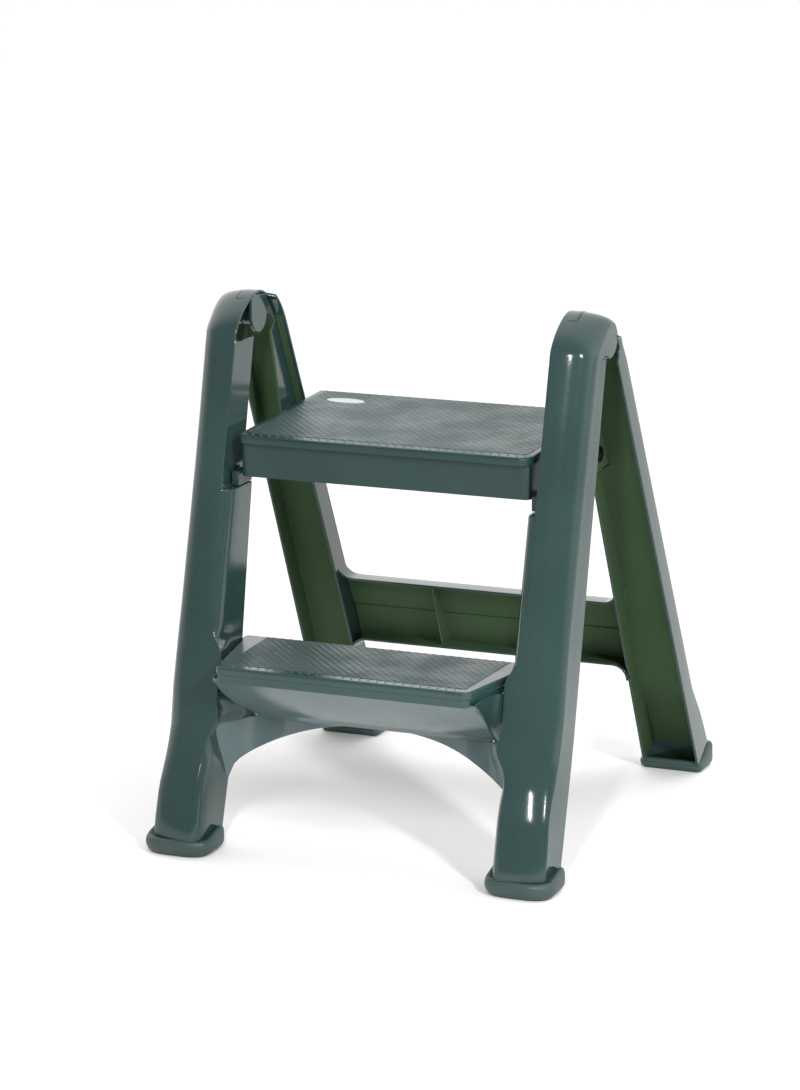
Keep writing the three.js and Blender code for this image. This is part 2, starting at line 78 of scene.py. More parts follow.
# front legs: x of the inner wall above and below the ledge, and of the outer edge
LEG_INNER, LEG_INSET, LEG_OUTER = 176, 165, 222
LEG_BOTTOM, FRONT_LEG_BOTTOM = 4.4, 12.4
LEDGE, FLANGE_TOP, SHOULDER = 380, 530, 540
FACE_TOP, FACE_SLOPE = -57, 0.255  # y of the front face at the shoulder, and how it leans below
BACK_TOP, BACK_SLOPE, CALF_SLOPE = (-9, 533), 0.231, 0.06
KICK_TOP, KICK_BOTTOM, KICK_FORWARD, KICK_OUTWARD, ANKLE, CALF = 118, 68, 4.6, 4, 24, 140
HOLLOW, HOLLOW_FULL, HOLLOW_END = 2.6, 150, 330  # how far the face is set back above the kick
SEAM, KNUCKLE_SPLIT = -22, 193  # where the two frames meet: y on the arch, x in the knuckle
SPLIT_GAP = 0.4
LOBE = 21.5  # radius of the round end of the arch, about the hinge

# rear legs: (y, z) where the front edge and the back face start, and how they lean below
REAR_INNER, REAR_CHEEK, REAR_OUTER, SPLAY = 166, 176.5, 218.5, 15
REAR_FRONT_TOP, REAR_FRONT_SLOPE = (56.4, 479), 0.524
REAR_FACE_TOP, REAR_FACE_SLOPE = (94.5, 464), 0.53
OUTER_TOP = 547  # the outer half of a rear leg starts here, below the lobe of the front leg
SHELF = 392  # floor of the recess beside the top step
HEEL_TOP = 112
HEEL = [(313.5, 71), (345, 20), (347, LEG_BOTTOM)]  # (y, z) of the back below the straight part

# lower step: heights of its tread and rim, y of its nose and rear
LOWER_TREAD, LOWER_NOSE, LOWER_REAR, RIM = 214, -196, -61, 197
LOWER_CORNER, LOWER_SIDE, LOWER_SHOULDER = 141, 161, -84  # x at the nose, x and y beside the legs
ARCH_HALF, ARCH_RISE, ARCH_BASE, ARCH_Y = 185, 120, 17, -100
CROWN = ARCH_BASE + ARCH_RISE

# top step: (y, z) of its front upper edge, and its rise to the back
STEP_HALF, STEP_DEPTH, STEP_APRON = 166, 231, 46
STEP_LIP = (-85, 437)
STEP_TILT = math.radians(2)
LUG_FRONT, LUG_BACK, LUG_TOP, LUG_END = -77, -43, 396, 173.5
BADGE = {"x": -116, "along": 185, "width": 44, "depth": 20}

# treads: pitch and height of the diamonds
KNURL_X, KNURL_Y, KNURL_HEIGHT = 9.7, 11.0, 0.55


# ---- small helpers ----
def clamp(value, low=0.0, high=1.0):
    return max(low, min(high, value))


def smooth(start, end, value):
    """Eases from 0 at start to 1 at end. With start above end it falls as the value rises."""
    t = clamp((value - start) / (end - start))
    return t * t * (3 - 2 * t)


def mix(a, b, t):
    return tuple(p + (q - p) * t for p, q in zip(a, b))


def bezier(a, b, c, d, count):
    """Points on a cubic curve, both ends included."""
    points = []
    for i in range(count + 1):
        t = i / count
        s = 1 - t
        weights = (s**3, 3 * s * s * t, 3 * s * t * t, t**3)
        axes = zip(a, b, c, d)
        points.append(tuple(sum(w * p for w, p in zip(weights, values)) for values in axes))
    return points


def arc(centre, radius, start, end, count):
    """Points on a circle, from one angle to another, in degrees."""
    angles = [math.radians(start + (end - start) * i / count) for i in range(count + 1)]
    return [(centre[0] + radius * math.cos(a), centre[1] + radius * math.sin(a)) for a in angles]


def interpolate(points, value):
    """The height of a line of straight pieces, given as (place, height) pairs in rising order."""
    for (a, low), (b, high) in zip(points, points[1:]):
        if value <= b:
            return low + (high - low) * (value - a) / (b - a)
    return points[-1][1]


def side_name(side):
    return "right" if side > 0 else "left"


# ---- outlines from the side: y at a height ----
INSET_BACK = ((12, -133), (64, -116), (74, -112), (86, -101), (207, -72), (380, -42.2))


def front_face(z):
    """The front of a front leg: it leans, is hollow above the kick, and kicks forward at the foot."""
    set_back = HOLLOW * smooth(KICK_BOTTOM, KICK_TOP, z) * (1 - smooth(HOLLOW_FULL, HOLLOW_END, z))
    kick = KICK_FORWARD * smooth(KICK_TOP, KICK_BOTTOM, z)
    return FACE_TOP - FACE_SLOPE * (SHOULDER - max(z, ANKLE)) + set_back - kick


def front_leg_back(z):
    return BACK_TOP[0] - BACK_SLOPE * (BACK_TOP[1] - z) - CALF_SLOPE * max(0, CALF - z)


def inset_back(z):
    """The back edge of the wall beside the lower step."""
    return interpolate(INSET_BACK, z)


def rear_leg_front(z):
    return REAR_FRONT_TOP[0] + REAR_FRONT_SLOPE * (REAR_FRONT_TOP[1] - z)


def rear_face(z):
    return REAR_FACE_TOP[0] + REAR_FACE_SLOPE * (REAR_FACE_TOP[1] - z)


# ---- mesh building ----
MAX_MITRE = 1.6  # an inner corner lies at most this many walls away from its outer corner
BEVEL_FROM = 32  # edges sharper than this many degrees are rounded


class Moulding:
    """Gathers closed bodies in the seam frame."""

    def __init__(self, side=1):
        self.side = side
        self.verts = []
        self.faces = []

    def add(self, verts, faces):
        base = len(self.verts)
        self.verts += [(x * self.side, y, z) for x, y, z in verts]
        self.faces += [[base + i for i in face] for face in faces]

    def shell(self, verts, faces, inside, wall=WALL):
        """Thickens an open sheet towards the point inside it."""
        bm = bmesh.new()
        made = [bm.verts.new(v) for v in verts]
        for face in faces:
            bm.faces.new([made[i] for i in face])
        for v in [v for v in bm.verts if not v.link_faces]:
            bm.verts.remove(v)
        bmesh.ops.remove_doubles(bm, verts=bm.verts, dist=1e-4)
        bm.normal_update()
        bm.verts.index_update()
        point = Vector(inside)
        towards = 0
        for f in bm.faces:
            towards += f.normal.dot((point - f.calc_center_median()).normalized()) * f.calc_area()
        sign = 1 if towards > 0 else -1
        outer, inner = [], []
        for v in bm.verts:
            mitre = min(v.calc_shell_factor(), MAX_MITRE)
            outer.append(tuple(v.co))
            inner.append(tuple(v.co + v.normal * sign * wall * mitre))
        count = len(outer)
        skins = []
        for f in bm.faces:
            ring = [v.index for v in f.verts]
            skins.append(ring)
            skins.append([count + i for i in reversed(ring)])
        for e in bm.edges:
            if len(e.link_faces) == 1:
                a, b = e.verts[0].index, e.verts[1].index
                skins.append([a, b, count + b, count + a])
        bm.free()
        self.add(outer + inner, skins)

    def sheet(self, rows, inside, wall=WALL, skip=None, wrap=False, cap=False):
        """A thickened grid of points. skip(i, j) leaves a quad out, wrap joins the ends of each row."""
        across = len(rows[0])
        verts = [p for row in rows for p in row]
        faces = []
        for i in range(len(rows) - 1):
            a, b = i * across, (i + 1) * across
            for j in range(across if wrap else across - 1):
                if skip and skip(i, j):
                    continue
                k = (j + 1) % across
                faces.append([a + j, a + k, b + k, b + j])
        if cap:
            faces.append([(len(rows) - 1) * across + j for j in range(across)])
        self.shell(verts, faces, inside, wall)

    def plate(self, outline, axis, low, high):
        """A flat body: the outline in the plane across the axis, from low to high along it."""
        place = {
            "x": lambda a, b, c: (c, a, b),
            "y": lambda a, b, c: (a, c, b),
            "z": lambda a, b, c: (a, b, c),
        }[axis]
        count = len(outline)
        verts = [place(a, b, c) for c in (low, high) for a, b in outline]
        faces = [list(range(count)), [count + i for i in reversed(range(count))]]
        for i in range(count):
            k = (i + 1) % count
            faces.append([i, k, count + k, count + i])
        self.add(verts, faces)

    def rings(self, rings):
        """A closed body lofted through rings of equal length, capped at both ends."""
        count = len(rings[0])
        verts = [p for ring in rings for p in ring]
        faces = [list(range(count)), [(len(rings) - 1) * count + i for i in reversed(range(count))]]
        for i in range(len(rings) - 1):
            a, b = i * count, (i + 1) * count
            for j in range(count):
                k = (j + 1) % count
                faces.append([a + j, a + k, b + k, b + j])
        self.add(verts, faces)

    def bar(self, centre, profile, count=40):
        """A turned body along x: profile holds (x, radius) pairs, centre is (y, z)."""
        rings = []
        for x, radius in profile:
            rings.append([(x, y, z) for y, z in arc(centre, radius, 0, 360, count)[:-1]])
        self.rings(rings)

    def build(self, name, body, material, bevel=0.8, tilt=None, painted_shade_faces=None):
        """Makes the object, its edges rounded. The last argument, a test of (x, y, z, normal), picks
        the faces painted with the dark colour that stands for shade.
        """
        mesh = bpy.data.meshes.new(name)
        points = [Vector(v) for v in self.verts]
        if tilt:
            points = [tilt(p) for p in points]
        mesh.from_pydata([(p.x * MM, (p.y + SEAM_Y) * MM, p.z * MM) for p in points], [], self.faces)
        bm = bmesh.new()
        bm.from_mesh(mesh)
        bmesh.ops.recalc_face_normals(bm, faces=bm.faces)
        bm.to_mesh(mesh)
        bm.free()
        mesh.shade_smooth()
        mesh.materials.append(material)
        # painted shade: the picked faces get the dark olive colour that stands for the shade inside the
        # channels
        if painted_shade_faces:
            mesh.materials.append(CHANNEL_SHADE_PLASTIC)
            for face in mesh.polygons:
                x, y, z = face.center / MM
                face.material_index = int(painted_shade_faces(abs(x), y - SEAM_Y, z, face.normal))
        obj = bpy.data.objects.new(name, mesh)
        bpy.context.scene.collection.objects.link(obj)
        if bevel:
            rounding = obj.modifiers.new("rounding", "BEVEL")
            rounding.width = bevel * MM
            rounding.segments = 2
            rounding.limit_method = "ANGLE"
            rounding.angle_limit = math.radians(BEVEL_FROM)
            rounding.use_clamp_overlap = False
            shading = obj.modifiers.new("shading", "WEIGHTED_NORMAL")
            shading.keep_sharp = True
        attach(obj, body)
        return obj


# ---- materials ----
CLOUDS, SPECKS, EDGE_WEAR, GLOSS, ORANGE_PEEL, GRAIN = 9, 700, 60, 26, 330, 1500  # noise scales
CLOUD_SHARE, SPECK_SHARE = 0.55, 0.45
EDGE_RADIUS, EDGE_PALER, EDGE_DULLER = 0.0012, 0.25, 0.3


def plastic(name, dark, light, roughness, peel, grain=0.0, specular=0.5):
    """Moulded plastic: mottled colour, uneven gloss, orange peel, fine grain and paler, duller edges.

    peel and grain are the heights of the relief, in metres.
    """
    material = bpy.data.materials.new(name)
    material.use_nodes = True
    nodes, links = material.node_tree.nodes, material.node_tree.links
    nodes.clear()
    output = nodes.new("ShaderNodeOutputMaterial")
    shader = nodes.new("ShaderNodeBsdfPrincipled")
    shader.inputs["IOR"].default_value = 1.49
    shader.inputs["Specular IOR Level"].default_value = specular
    links.new(shader.outputs["BSDF"], output.inputs["Surface"])
    coords = nodes.new("ShaderNodeTexCoord")

    def noise(scale, detail, rough=0.5):
        texture = nodes.new("ShaderNodeTexNoise")
        texture.inputs["Scale"].default_value = scale
        texture.inputs["Detail"].default_value = detail
        texture.inputs["Roughness"].default_value = rough
        links.new(coords.outputs["Object"], texture.inputs["Vector"])
        return texture.outputs["Fac"]

    def ramp(source, low, high, start=0.35, end=0.65):
        curve = nodes.new("ShaderNodeMapRange")
        curve.inputs["From Min"].default_value = start
        curve.inputs["From Max"].default_value = end
        curve.inputs["To Min"].default_value = low
        curve.inputs["To Max"].default_value = high
        links.new(source, curve.inputs["Value"])
        return curve.outputs["Result"]

    def blend(factor, a, b):
        mixer = nodes.new("ShaderNodeMix")
        mixer.data_type = "RGBA"
        for socket, value in (("A", a), ("B", b)):
            target = [s for s in mixer.inputs if s.name == socket and s.type == "RGBA"][0]
            if isinstance(value, tuple):
                target.default_value = (*value, 1)
            else:
                links.new(value, target)
        links.new(factor, mixer.inputs["Factor"])
        return [s for s in mixer.outputs if s.type == "RGBA"][0]

    def arithmetic(operation, *values):
        node = nodes.new("ShaderNodeMath")
        node.operation = operation
        for socket, value in zip(node.inputs, values):
            if isinstance(value, float):
                socket.default_value = value
            else:
                links.new(value, socket)
        return node.outputs[0]

    def relief(scale, height, under=None):
        bump = nodes.new("ShaderNodeBump")
        bump.inputs["Strength"].default_value = 1
        bump.inputs["Distance"].default_value = height
        links.new(noise(scale, 2), bump.inputs["Height"])
        if under:
            links.new(under, bump.inputs["Normal"])
        return bump.outputs["Normal"]

    clouds = arithmetic("MULTIPLY", ramp(noise(CLOUDS, 3), 0, 1), CLOUD_SHARE)
    specks = ramp(noise(SPECKS, 2), 0, 1, 0.3, 0.7)
    colour = blend(arithmetic("MULTIPLY_ADD", specks, SPECK_SHARE, clouds), dark, light)

    rounded = nodes.new("ShaderNodeBevel")
    rounded.samples = 4
    rounded.inputs["Radius"].default_value = EDGE_RADIUS
    flat = nodes.new("ShaderNodeNewGeometry")
    facing = nodes.new("ShaderNodeVectorMath")
    facing.operation = "DOT_PRODUCT"
    links.new(rounded.outputs["Normal"], facing.inputs[0])
    links.new(flat.outputs["Normal"], facing.inputs[1])
    edge = ramp(facing.outputs["Value"], EDGE_PALER, 0, 0.86, 0.99)
    worn = arithmetic("MULTIPLY", edge, ramp(noise(EDGE_WEAR, 4, 0.6), 0.2, 1))
    pale = tuple(clamp(c * 2.2 + 0.05) for c in light)
    links.new(blend(worn, colour, pale), shader.inputs["Base Color"])

    uneven = ramp(noise(GLOSS, 4), roughness * 0.82, roughness * 1.22)
    links.new(arithmetic("MULTIPLY_ADD", worn, EDGE_DULLER, uneven), shader.inputs["Roughness"])

    normal = relief(ORANGE_PEEL, peel)
    if grain:
        normal = relief(GRAIN, grain, under=normal)
    links.new(normal, shader.inputs["Normal"])
    return material


def steel(name):
    """Blackened drawn steel: fine lines around the pin, uneven polish."""
    material = bpy.data.materials.new(name)
    material.use_nodes = True
    nodes, links = material.node_tree.nodes, material.node_tree.links
    shader = nodes["Principled BSDF"]
    shader.inputs["Metallic"].default_value = 1
    coords = nodes.new("ShaderNodeTexCoord")
    stretch = nodes.new("ShaderNodeMapping")
    stretch.inputs["Scale"].default_value = (2500, 60, 60)
    links.new(coords.outputs["Object"], stretch.inputs["Vector"])
    lines = nodes.new("ShaderNodeTexNoise")
    lines.inputs["Scale"].default_value = 1
    lines.inputs["Detail"].default_value = 4
    links.new(stretch.outputs["Vector"], lines.inputs["Vector"])
    for target, low, high in (("Roughness", 0.3, 0.5), ("Base Color", 0.03, 0.06)):
        spread = nodes.new("ShaderNodeMapRange")
        spread.inputs["To Min"].default_value = low
        spread.inputs["To Max"].default_value = high
        links.new(lines.outputs["Fac"], spread.inputs["Value"])
        links.new(spread.outputs["Result"], shader.inputs[target])
    relief = nodes.new("ShaderNodeBump")
    relief.inputs["Strength"].default_value = 0.3
    relief.inputs["Distance"].default_value = 0.00004
    links.new(lines.outputs["Fac"], relief.inputs["Height"])
    links.new(relief.outputs["Normal"], shader.inputs["Normal"])
    return material


FRAME_PLASTIC = plastic(
    "frame_plastic", dark=(0.014, 0.036, 0.034), light=(0.025, 0.055, 0.052), roughness=0.12,
    peel=0.00004,
)
# painted shade: a dull, dark olive copy of the frame colour, put on the faces inside the channels of
# the rear legs and crossbar where shade falls
CHANNEL_SHADE_PLASTIC = plastic(
    "channel_painted_shade_plastic", dark=(0.046, 0.083, 0.041), light=(0.056, 0.098, 0.050), roughness=0.8,
    peel=0.00004, specular=0.06,
)
TREAD_PLASTIC = plastic(
    "tread_plastic", dark=(0.022, 0.050, 0.048), light=(0.040, 0.072, 0.070), roughness=0.42,
    peel=0.00006, grain=0.00003, specular=0.36,
)
TREAD_RIM_PLASTIC = plastic(
    "tread_rim_plastic", dark=(0.016, 0.044, 0.042), light=(0.028, 0.062, 0.060), roughness=0.2,
    peel=0.00005, specular=0.42,
)
# painted shade: a darker copy of the frame colour for the top step's body, apron, boss and lugs,
# standing in for the shade under the tread's lip
STEP_SHADE_PLASTIC = plastic(
    "step_painted_shade_plastic", dark=(0.008, 0.030, 0.028), light=(0.015, 0.042, 0.040), roughness=0.33,
    peel=0.00008, grain=0.00002, specular=0.35,
)
# painted light: the skirt is much paler than the frame plastic, standing in for the light and floor
# reflection on the sloping panel and web
SKIRT_PAINTED_LIGHT_PLASTIC = plastic(
    "skirt_painted_light_plastic", dark=(0.056, 0.092, 0.097), light=(0.090, 0.132, 0.137), roughness=0.2,
    peel=0.00006,
)
# painted highlight: the dots are much paler than the tread, standing in for the glints on their domes
DOT_PAINTED_HIGHLIGHT_PLASTIC = plastic(
    "dot_painted_highlight_plastic", dark=(0.060, 0.090, 0.088), light=(0.100, 0.130, 0.128), roughness=0.14,
    peel=0.00002,
)
FOOT_RUBBER = plastic(
    "foot_rubber", dark=(0.022, 0.048, 0.044), light=(0.038, 0.070, 0.066), roughness=0.5,
    peel=0.00012, grain=0.00005,
)
BADGE_PLASTIC = plastic(
    "badge_plastic", dark=(0.36, 0.41, 0.40), light=(0.44, 0.50, 0.49), roughness=0.3,
    peel=0.00003,
)
PIN_STEEL = steel("pin_steel")


# ---- front legs ----
FRONT_COLUMNS = (0, 0.06, 0.13, 0.19, 0.25, 0.33, 0.42, 0.52, 0.62, 0.72, 0.81, 0.89, 0.95, 1)
WALL_COLUMNS = 5  # the columns of a leg's section before its rounded front
SPLIT_COLUMN = WALL_COLUMNS + FRONT_COLUMNS.index(0.25)
WALL_DEPTH = 18  # how far back the rounded inner edge of a leg reaches
ROOF_CREASE = 11  # depth of the crease on top of the arch

FRONT_LEG_HEIGHTS = (
    FRONT_LEG_BOTTOM, ANKLE, 40, 58, 66, 74, 80, 86, 92, 97, 102, 107, 112, 118, 124, 130, 134, 138,
    142, 146, 150, 155, 162, 170, 178, 186, 200, 207, 215, 221, 226, 231, 236, 241, 246, 252, 258,
    266, 280, 310, 330, 355, 376, LEDGE - 0.8, LEDGE, 386, 410, 440, 470, 500, 515, 526, FLANGE_TOP,
)

# what changes along a leg, as (height, value) pairs from the foot up
PINCH = (
    (12, 3), (60, 4), (90, 5), (100, 5.2), (112, 6.4), (122, 8.6), (130, 12.5), (138, 17),
    (146, 19.2), (153, 18), (162, 15.8), (186, 16), (205, 16.8), (216, 16), (224, 10.5),
    (232, 5.5), (242, 3), (262, 2.5), (300, 1.5), (330, 0), (600, 0),
)
CREASE_DEPTH = ((0, 12.5), (70, 12.5), (100, 15), (130, 20), (230, 20), (330, 23.5), (450, 25.5))
CREASE_DRAFT = (
    (0, 5), (60, 5), (100, 3.4), (130, 2.6), (170, 1.2), (215, 2.1), (255, 2.8), (420, 2.7),
    (540, 1.6),
)
FULLNESS = ((0, 190), (110, 191), (200, 199), (400, 202), (540, 204))
FULL_SHOULDER, FULL_ROOF = 204, 200  # x where the front turns back, at the arch's foot and on top
FLARE, FLARE_TOP, FLARE_FULL = 1.4, 112, 90  # below the web the inner wall stands a little further in
BULGE_TOP, BULGE_FULL = 102, 45  # heights between which a leg reaches out sideways to its foot


def pinch(z):
    """How far the rounded inner edge of a front leg reaches in, beside the lower step."""
    return interpolate(PINCH, z)


def swell(z):
    """1 where the inner edge of a front leg also stands a little further forward."""
    return smooth(168, 150, z) * (1 - smooth(143, 126, z))


def crease_at(z):
    """Depth of the crease between a leg's rounded front and flat side, and how far in it lies."""
    return interpolate(CREASE_DEPTH, z), interpolate(CREASE_DRAFT, z)


def fullness(z):
    """x where the front of a leg begins to turn back: the legs are rounder near the feet."""
    return interpolate(FULLNESS, z)


def leg_section(corner, wall_x, wall_depth, crease, draft, flange_depth, full, lead=0.0, bulge=0.0):
    """Columns (x, depth behind the front line) from the inner wall, round the front, to the flange.

    The front runs from the corner, lead ahead of the line, to the crease, draft in from the edge.
    It begins to turn back at full.
    """
    near = min(wall_x, corner + 1)
    reach = corner - near
    deep = min(WALL_DEPTH, 0.8 * wall_depth)
    columns = [(wall_x, wall_depth), ((wall_x + near) / 2, deep + 0.3 * (wall_depth - deep))]
    columns += [(near, deep), (near + 0.16 * reach, 0.42 * deep - lead)]
    columns.append((near + 0.55 * reach, 0.14 * deep - lead))
    edge = LEG_OUTER + bulge - draft
    turn = 3 + 0.5 * max(0, FULL_ROOF - full)
    turning = (full, -0.4 * lead), (edge - turn, 0.3 * crease)
    curve = bezier((corner, -lead), *turning, (edge, crease), 100)
    columns += [curve[round(100 * t)] for t in FRONT_COLUMNS]
    step = crease + 1.2
    side = LEG_OUTER - 0.4 - 0.4 * draft + 0.3 * bulge
    columns += [(edge - 0.2, step), (side, (step + flange_depth) / 2), (LEG_OUTER - 0.3, flange_depth)]
    return columns


def front_roof(count):
    """The line of the arch, from the top of the straight front to the highest point."""
    return bezier((FACE_TOP, SHOULDER), (-52, 558.4), (-17, HEIGHT), (3, HEIGHT), count)


def straight_rows():
    """The sections of a front leg from its foot to the arch, as rows of points."""
    rows = []
    for z in FRONT_LEG_HEIGHTS:
        front = front_face(z)
        below = z < LEDGE
        wall_x = LEG_INSET - FLARE * smooth(FLARE_TOP, FLARE_FULL, z) if below else LEG_INNER
        back = (inset_back(z) if below else front_leg_back(z)) - front
        flange = front_leg_back(z) - front
        crease, draft = crease_at(z)
        lead, bulge = 0.8 * swell(z), KICK_OUTWARD * smooth(BULGE_TOP, BULGE_FULL, z)
        corner = LEG_INNER - pinch(z)
        section = leg_section(corner, wall_x, back, crease, draft, flange, fullness(z), lead, bulge)
        rows.append([(x, front + depth, z) for x, depth in section])
    return rows


def arch_rows(path):
    """The sections of a front leg along its arch, each turned towards the hinge."""
    rows = []
    ends = arc(HINGE, LOBE, -132, -9, len(path) - 1)
    below, draft_below = crease_at(SHOULDER)
    for k, (p, q) in enumerate(zip(path, ends)):
        t = k / (len(path) - 1)
        span = math.dist(p, q)
        crease = min(below + (ROOF_CREASE - below) * smooth(0, 0.75, t), 0.57 * span)
        draft = draft_below * smooth(0.6, 0, t)
        full = FULL_ROOF + (FULL_SHOULDER - FULL_ROOF) * smooth(0.25, 0, t)
        section = leg_section(LEG_INNER, LEG_INNER, WALL_DEPTH, crease, draft, span, full)
        rows.append([(x, *mix(p, q, depth / span)) for x, depth in section])
    return rows


def front_leg(side):
    body = Moulding(side)
    path = front_roof(18)
    path += bezier((3, HEIGHT), (18.5, HEIGHT), (27.5, 567), (26.8, HINGE[1] + 1), 12)[1:]
    rows = straight_rows()
    straight = len(rows)
    rows += arch_rows(path)
    past_seam = next(i for i, (y, z) in enumerate(path) if y > SEAM) + straight

    def skip(i, j):
        """Above the flange there is no inner wall, and past the seam only the outer half."""
        inner_wall = j < WALL_COLUMNS and i >= straight - 1
        return inner_wall or (j < SPLIT_COLUMN and i >= past_seam)

    body.sheet(rows, (200, -40, 300), skip=skip)
    split = KNUCKLE_SPLIT + SPLIT_GAP
    body.bar(HINGE, [(split, HINGE_BORE), (split, HINGE_BOSS), (LEG_OUTER - 2, HINGE_BOSS)])
    return body.build(f"front_leg_{side_name(side)}", "front", FRAME_PLASTIC)


# ---- treads ----
def inset_outline(outline, distance):
    """A closed outline, counter-clockwise, moved inwards by a distance."""
    moved = []
    count = len(outline)
    for i in range(count):
        before = Vector(outline[i - 1])
        here = Vector(outline[i])
        after = Vector(outline[(i + 1) % count])
        a, b = (here - before).normalized(), (after - here).normalized()
        normal = Vector((-a.y - b.y, a.x + b.x))
        if normal.length < 1e-6:
            normal = Vector((-a.y, a.x))
        normal.normalize()
        scale = 1 / max(0.4, normal.dot(Vector((-a.y, a.x))))
        moved.append(tuple(here + normal * distance * scale))
    return moved


def softened(outline, radius, count=5):
    """Rounds every corner of a closed outline."""
    points = []
    size = len(outline)
    for i in range(size):
        here = Vector(outline[i])
        a, b = Vector(outline[i - 1]) - here, Vector(outline[(i + 1) % size]) - here
        reach = min(radius, a.length / 2.2, b.length / 2.2)
        start, end = here + a.normalized() * reach, here + b.normalized() * reach
        for k in range(count + 1):
            t = k / count
            points.append(tuple(start * (1 - t) ** 2 + here * 2 * t * (1 - t) + end * t * t))
    return points


def tread_shell(body, outline, profile):
    """A tray upside down: rings of the outline, (inset, z) from the rim up to the tread."""
    rows = []
    for inset, z in profile:
        rows.append([(x, y, z) for x, y in inset_outline(outline, inset)])
    middle = sum(y for _, y in outline) / len(outline)
    body.sheet(rows, (0, middle, profile[0][1]), wrap=True, cap=True)


def knurl(x, y):
    """Height of the pattern of raised diamonds, 0 in the grooves and 1 on top."""
    rise = 1
    for turn in (1, -1):
        phase = (x / KNURL_X + turn * y / KNURL_Y) % 1
        rise = min(rise, 1.7 * (1 - abs(2 * phase - 1)))
    return rise


PAD_PITCH, PAD_LIFT, PAD_THICKNESS, PAD_FADE = 1.2, 0.15, 1.2, 1.5


def knurled_pad(body, half_width, front, back, level, share_at=None):
    """A thin slab with the diamonds on top. They fade out at its edges and where share_at is 0."""
    down = round((back - front) / PAD_PITCH)
    across = round(2 * half_width((front + back) / 2) / PAD_PITCH)
    verts = []
    for i in range(down + 1):
        y = front + (back - front) * i / down
        half = half_width(y)
        for j in range(across + 1):
            x = half * (2 * j / across - 1)
            margin = min(half - abs(x), y - front, back - y)
            rise = knurl(x, y) * clamp(margin / PAD_FADE)
            if share_at:
                rise *= share_at(x, y)
            verts.append((x, y, level + PAD_LIFT * clamp(margin) + KNURL_HEIGHT * rise))
    count = len(verts)
    wide = across + 1
    verts += [(x, y, level - PAD_THICKNESS) for x, y, _ in verts]
    faces = []
    for i in range(down):
        for j in range(across):
            a = i * wide + j
            ring = [a, a + 1, a + 1 + wide, a + wide]
            faces.append(ring)
            faces.append([count + k for k in reversed(ring)])
    rim = list(range(wide))
    rim += [i * wide + across for i in range(1, down + 1)]
    rim += [down * wide + j for j in range(across - 1, -1, -1)]
    rim += [i * wide for i in range(down - 1, 0, -1)]
    for k, a in enumerate(rim):
        b = rim[(k + 1) % len(rim)]
        faces.append([a, count + a, count + b, b])
    body.add(verts, faces)


DOT_RADIUS, DOT_HEIGHT = 1.15, 0.85
DOT_PROFILE = ((1, -0.8), (1, 0.05), (0.86, 0.5), (0.55, 0.84), (0.2, 0.98))  # shares of both


def dots(body, half, y, level):
    """A row of small domes from -half to half."""
    count = round(2 * half / KNURL_X)
    for i in range(count + 1):
        x = -half + 2 * half * i / count
        rings = []
        for inset, rise in DOT_PROFILE:
            ring = arc((x, y), DOT_RADIUS * inset, 0, 360, 10)[:-1]
            rings.append([(px, py, level + rise * DOT_HEIGHT) for px, py in ring])
        body.rings(rings)


# ---- lower step ----
SLOPE_START = LOWER_NOSE + 5  # y where the sloping panel leaves the tread's rim
SLOPE_SIDES = (
    (-200, 143), (-191, 146), (-185, 148.5), (-163, 147.5), (-139, 143.6), (-107, 137), (0, 130),
)
SLOPE_ACROSS = (-1, -0.97, -0.75, -0.5, -0.25, 0, 0.25, 0.5, 0.75, 0.97, 1)
COVE_FRONT = ((CROWN, -100.5), (141, -107), (160, -139), (176, -163), (193, -185), (210, -190))
WEB_HALF = LEG_INSET + 1.5
SLOPE_SAG = 3.5
ARCH_DROP, ARCH_DROP_FROM, ARCH_DROP_OVER = 14, 152, 12  # how the arch's end runs down beside a leg
ARCH_LIFT = 0.218  # how much higher its edge is for each millimetre that the web leans forward
WEB_SET_BACK, WEB_LEAN, WEB_UPRIGHT, WEB_FORWARD = 7, 25, 60, 160  # y, then x of no and of all lean


def slope_height(y):
    """Height of the panel that slopes down and back below the lower step."""
    share = (y - SLOPE_START) / (ARCH_Y - SLOPE_START)
    return RIM + 1 + (CROWN - RIM - 1) * share - SLOPE_SAG * math.sin(math.pi * share)


def slope_half(y):
    """Half the width of the sloping panel: its sides turn into the coves beside the legs."""
    return interpolate(SLOPE_SIDES, y)


def arch_height(x):
    """The edge of the arch: an ellipse, drawn down beside the legs and lifted by the web's lean."""
    ellipse = ARCH_BASE + ARCH_RISE * math.sqrt(1 - (x / ARCH_HALF) ** 2)
    drop = ARCH_DROP * clamp((abs(x) - ARCH_DROP_FROM) / ARCH_DROP_OVER) ** 2
    return ellipse - drop + ARCH_LIFT * (ARCH_Y - web_front(x))


def web_front(x):
    """y of the web below the sloping panel, which leans forward beside the legs."""
    return ARCH_Y + WEB_SET_BACK - WEB_LEAN * smooth(WEB_UPRIGHT, WEB_FORWARD, abs(x))


